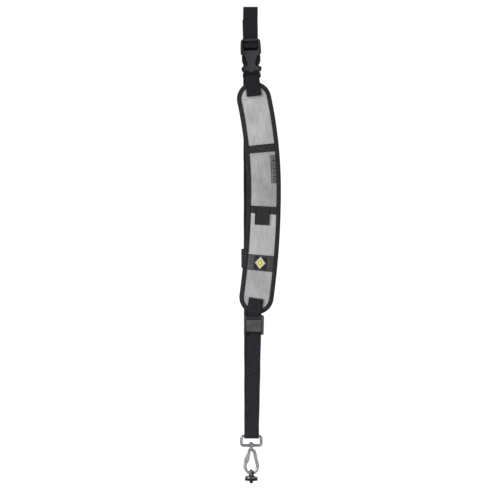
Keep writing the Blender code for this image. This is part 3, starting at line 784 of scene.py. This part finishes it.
def bands():
    ends = (-BAND_HALF, BAND_HALF)
    top = face_patch(*UPPER_BAND, *ends, band_front, 0.75, step=1.6, tape=True)
    add_piece("band_upper", top, "band", "strap", ["upper_cross_band"])
    low = face_patch(*LOWER_BAND, *ends, band_front, 0.75, skew=LOWER_SKEW, step=1.6, tape=True)
    add_piece("band_lower", low, "band", "strap", ["lower_cross_band"])
    wide = face_patch(*EMBLEM_BAND, *ends, band_front, 0.8, step=2.0, tape=True)
    add_piece("band_emblem", wide, "emblem_band", "strap", ["emblem_band"])
    for name, (s0, s1), skew in (
        ("upper", UPPER_BAND, 0.0),
        ("lower", LOWER_BAND, LOWER_SKEW),
        ("emblem", EMBLEM_BAND, 0.0),
    ):
        for tag, s in (("a", s0 + 1.4), ("b", s1 - 1.4)):
            line = [pad_point(s + skew * t, t, band_front(s, t) - 0.05) for t in range(-21, 22, 3)]
            stitches(f"stitch_{name}_{tag}", line, "thread_black", "strap")


def emblem():
    """A woven patch with a plain rhombus motif in pale and yellow thread."""

    def on_band(s, t):
        return band_front(s, t) - 0.75

    patch = face_patch(-135.0, -113.2, -10.6, 9.8, on_band, 0.65, step=2.0)
    add_piece("emblem_plain", patch, "patch", "strap", ["emblem_patch"])
    s, t = -124.1, -0.4
    for tag, size, hole, look in (
        ("pale", 8.9, 7.5, "thread_pale"),
        ("outer", 7.0, 4.2, "yellow"),
        ("inner", 3.0, 0.0, "yellow"),
    ):
        bm = rhombus(s, t, size, hole, on_band(s, t) - 0.4, 0.5)
        add_piece("motif_" + tag, bm, look, "strap", smooth=False)


def side_label():
    """A narrow grey woven label with a dark edge and dark bars of uneven length along it."""

    def front(s, t):
        return PANEL_Y - crown(s, t) - 0.8

    label = face_patch(11.4, 57.6, 13.1, 22.2, front, 0.5, step=2.0)
    add_piece("plain_label", label, "label", "strap", ["side_label"])
    for name, s0, s1, t0, t1 in (
        ("side", 11.5, 57.5, 13.2, 14.2),
        ("top", 56.5, 57.5, 14.2, 21.6),
        ("foot", 11.5, 12.5, 14.2, 21.6),
    ):
        edge = face_patch(s0, s1, t0, t1, lambda a, b: front(a, b) - 0.12, 0.2, step=1.0)
        add_piece("label_edge_" + name, edge, "thread_black", "strap")
    spot, index = 14.6, 0
    while spot < 53.6:
        tall = 1.3 + 0.9 * (index % 3 == 1) + 0.5 * (index % 4 == 2)
        low, high = (16.4, 19.8) if index % 2 else (16.0, 21.6)
        bar = face_patch(spot, spot + tall, low, high, lambda a, b: front(a, b) - 0.12, 0.2, step=1.0)
        add_piece(f"label_bar_{index}", bar, "thread_black", "strap")
        spot += tall + 1.6
        index += 1


def pocket_flap():
    flap = face_patch(*TAB_SPAN, -14.2, 10.8, flap_front, 1.15, step=2.0)
    add_piece("pocket_flap_web", flap, "tab", "pocket_flap", ["pocket_tab"])
    low, high = TAB_SPAN
    for tag, s in (("hem", low + 3.0), ("top", high - 1.6), ("box", high - 9.5)):
        line = [pad_point(s, x, flap_front(s, x) - 0.08) for x in range(-12, 10, 3)]
        stitches("flap_stitch_" + tag, line, "thread_black", "pocket_flap")


def flap_front(s, t):
    rise = 0.25 * smoothstep((-s - 50) / 10)
    return -11.75 - rise - 0.12 * (1 - ((t + 1.7) / 12.5) ** 2)


def rhombus(s, t, size, hole, y, thick):
    """A raised rhombus, open in the middle when hole is above 0."""
    corners = [(size * 1.2, 0), (0, size), (-size * 1.2, 0), (0, -size)]
    inner = [(a * hole / size, b * hole / size) for a, b in corners]
    if hole <= 0:
        ring_front = [pad_point(s + a, t + b, y) for a, b in corners]
        ring_back = [pad_point(s + a, t + b, y + thick) for a, b in corners]
        return loft([ring_front, ring_back])
    rings = []
    for (a, b), (c, d) in zip(corners, inner):
        rings.append(
            [
                pad_point(s + a, t + b, y),
                pad_point(s + c, t + d, y),
                pad_point(s + c, t + d, y + thick),
                pad_point(s + a, t + b, y + thick),
            ]
        )
    return loft(rings, closed=True)


def panel_stitches():
    """A faint topstitch line across each end of the grey face."""
    for tag, s in (("upper_seam", 157.5), ("lower_seam", -184.0)):
        line = [pad_point(s, t, PANEL_Y - crown(s, t) - 0.5) for t in range(-20, 21, 4)]
        stitches(tag, line, "thread_grey", "strap")


# --- hard pieces -------------------------------------------------------------------------------


def hard_pieces():
    node_look("plastic", "buckle_female")
    # Painted shade: the male half and the arms get the darker copy of the buckle plastic.
    node_look("arm_plastic_shaded", "buckle_male", "buckle_arm_left", "buckle_arm_right")
    # The front housing gets the lighter frame copy with its painted highlight.
    node_look("front_frame_highlit", "front_stopper_housing")
    node_look("frame", "back_stopper_housing")
    node_look("stopper", "front_cam_lever", "back_cam_lever")
    node_look("pin", "front_lever_pin", "back_lever_pin", "gate_pin", "gate_spring")
    node_look("steel", "hook_body")
    node_look("gate", "hook_gate")
    node_look("bright", "swivel_loop", "swivel_stem")
    node_look("hub_black", "fastener_hub")
    node_look("black_metal", "d_ring", "threaded_stud")
    node_look("rubber", "rubber_washer")
    for name in ("front_cam_lever", "back_cam_lever"):
        barrel_look(frame["nodes"][name])
    for width, limit, names in (
        (0.3, 35, ("buckle_female", "buckle_male", "buckle_arm_left", "buckle_arm_right")),
        (0.3, 35, ("front_stopper_housing", "back_stopper_housing", "front_cam_lever", "back_cam_lever")),
        (0.12, 50, ("swivel_loop", "swivel_stem", "hook_body", "hook_gate")),
        (0.15, 50, ("fastener_hub", "d_ring", "threaded_stud", "rubber_washer")),
    ):
        for name in names:
            soften(name, width, limit)


def soften(name, width, limit):
    """A CAD solid with the edges sharper than limit degrees lightly rounded and its faces shaded smooth."""
    obj = frame["nodes"][name]
    if "custom_normal" in obj.data.attributes:
        obj.data.attributes.remove(obj.data.attributes["custom_normal"])
    for face in obj.data.polygons:
        face.use_smooth = True
    weld = obj.modifiers.new("weld", "WELD")
    weld.merge_threshold = 0.00001
    bevel = obj.modifiers.new("rounded_edges", "BEVEL")
    bevel.width = width * MM
    bevel.segments = 2
    bevel.limit_method = "ANGLE"
    bevel.angle_limit = math.radians(limit)
    shade = obj.modifiers.new("shading", "WEIGHTED_NORMAL")
    shade.keep_sharp = False
    shade.weight = 70


def barrel_look(lever):
    """The lever's hinge barrel is a darker plastic than its face: its top 7 mm."""
    lever.data.materials.append(LOOKS["barrel"])
    top = max(v.co.z for v in lever.data.vertices)
    for face in lever.data.polygons:
        if face.center.z > top - 7.0 * MM:
            face.material_index = 1


# --- stage -------------------------------------------------------------------------------------


def camera():
    data = bpy.data.cameras.new("camera")
    data.sensor_width = 36.0
    distance = 4.2
    data.lens = 36.0 * (distance - 0.005) / 0.85
    data.clip_end = 50.0
    obj = bpy.data.objects.new("camera", data)
    obj.location = (-0.0022, -distance, -0.41255)
    obj.rotation_euler = (math.radians(90), 0, 0)
    bpy.context.scene.collection.objects.link(obj)
    bpy.context.scene.camera = obj


def light(name, place, target, size, power):
    data = bpy.data.lights.new(name, "AREA")
    data.shape = "RECTANGLE"
    data.size, data.size_y = size
    data.energy = power
    obj = bpy.data.objects.new(name, data)
    obj.location = place
    obj.rotation_mode = "QUATERNION"
    obj.rotation_quaternion = (Vector(target) - Vector(place)).to_track_quat("-Z", "Y")
    bpy.context.scene.collection.objects.link(obj)


def world():
    made = bpy.data.worlds.new("studio")
    bpy.context.scene.world = made
    made.use_nodes = True
    tree = made.node_tree
    back = tree.nodes["Background"]
    back.inputs["Color"].default_value = (1, 1, 1, 1)
    rays = tree.nodes.new("ShaderNodeLightPath")
    strength = tree.nodes.new("ShaderNodeMapRange")
    tree.links.new(rays.outputs["Is Camera Ray"], strength.inputs[0])
    strength.inputs[3].default_value = 0.45
    strength.inputs[4].default_value = 1.05
    tree.links.new(strength.outputs[0], back.inputs["Strength"])


def floor():
    mesh = bpy.data.meshes.new("floor")
    s, z = 0.55, -1.0
    mesh.from_pydata([(-s, -s, z), (s, -s, z), (s, s, z), (-s, s, z)], [], [(0, 1, 2, 3)])
    obj = bpy.data.objects.new("floor", mesh)
    n = Nodes("pale_floor")
    mesh.materials.append(n.finish(n.mix(n.noise(6, 2), (0.80, 0.80, 0.80), (0.84, 0.84, 0.84)), 0.6))
    bpy.context.scene.collection.objects.link(obj)


def stage():
    camera()
    world()
    floor()
    middle = (0, 0, -0.4)
    light("key", (-2.0, -1.6, 0.3), middle, (1.0, 1.8), 52)
    light("fill", (1.6, -2.2, -0.6), middle, (1.0, 1.6), 9)
    light("rim", (0.9, 2.0, 0.3), middle, (1.2, 1.6), 34)
    bpy.context.scene.view_settings.view_transform = "Standard"


stage()
main_webbing()
top_tab()
pad_body()
pad_panels()
binding()
bands()
emblem()
side_label()
pocket_flap()
panel_stitches()
hard_pieces()
